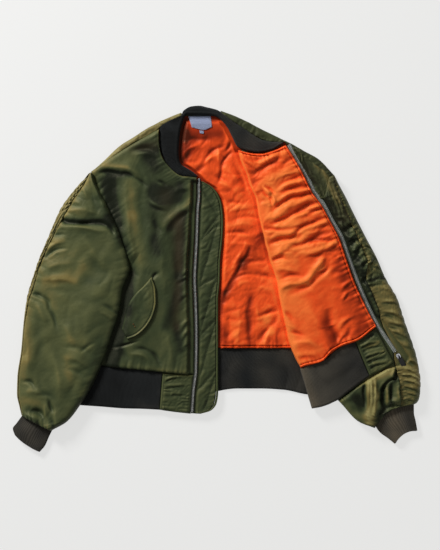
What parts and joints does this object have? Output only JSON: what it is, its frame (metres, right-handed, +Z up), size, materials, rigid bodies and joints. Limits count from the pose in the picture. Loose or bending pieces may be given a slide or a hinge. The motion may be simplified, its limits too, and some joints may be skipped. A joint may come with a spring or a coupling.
{
  "type": "bomber jacket",
  "caption": "Padded olive nylon bomber jacket laid flat with one front folded open over its sleeve, showing a quilted orange lining; ribbed collar, cuffs and hem.",
  "frame": {"origin": "on the surface under the middle of the laid-out jacket's bounding box", "axes": "+Z up from the surface the jacket lies on, +Y towards the collar, +X towards the wearer's left sleeve"},
  "size_m": [0.9564, 0.8088, 0.0379],
  "materials": {
    "nylon_green": "olive green satin nylon with a soft golden sheen, padded",
    "nylon_gold": "the same nylon seen across its golden threads",
    "lining_orange": "bright orange smooth nylon lining, padded",
    "rib_charcoal": "dark charcoal knitted rib",
    "zip_tape_olive": "woven zip tape, grey olive",
    "zip_metal": "dull silver zip chain",
    "slider_metal": "silver zip slider",
    "pull_dark": "dark matt pull tab",
    "label_cloth": "bare pale bluish white woven label"
  },
  "bodies": {
    "jacket": {"back_shell": "nylon_green", "back_lining": "lining_orange", "front_right_shell": "nylon_green", "front_left_shell": "nylon_green", "front_left_lining": "lining_orange", "front_left_shoulder": "nylon_green", "shoulder_strip_right": "nylon_gold", "shoulder_strip_left": "nylon_gold", "sleeve_right_front": "nylon_green", "sleeve_right_back": "nylon_gold", "sleeve_left_front": "nylon_green", "sleeve_left_back": "nylon_gold", "cuff_right": "rib_charcoal", "cuff_left": "rib_charcoal", "collar_rib": "rib_charcoal", "hem_rib_back": "rib_charcoal", "hem_rib_right": "rib_charcoal", "hem_rib_left": "rib_charcoal", "hem_panel_right": "nylon_green", "hem_panel_left": "nylon_green", "storm_flap": "nylon_green", "flap_binding": "nylon_green", "pocket_flap": "nylon_green", "zip_tape_right": "zip_tape_olive", "zip_tape_left": "zip_tape_olive", "zip_chain_right": "zip_metal", "zip_chain_left": "zip_metal", "zip_slider": "slider_metal", "label_main": "label_cloth", "label_size": "label_cloth"},
    "pull_tab": {"zip_pull": "pull_dark"}
  },
  "joints": [
    {"name": "pull_tab_hinge", "type": "hinge", "parent": "jacket", "child": "pull_tab", "pos_m": [0.424, -0.178, 0.0265], "axis": [-0.8779, -0.4789, 0], "range_deg": [0, 165]}
  ]
}
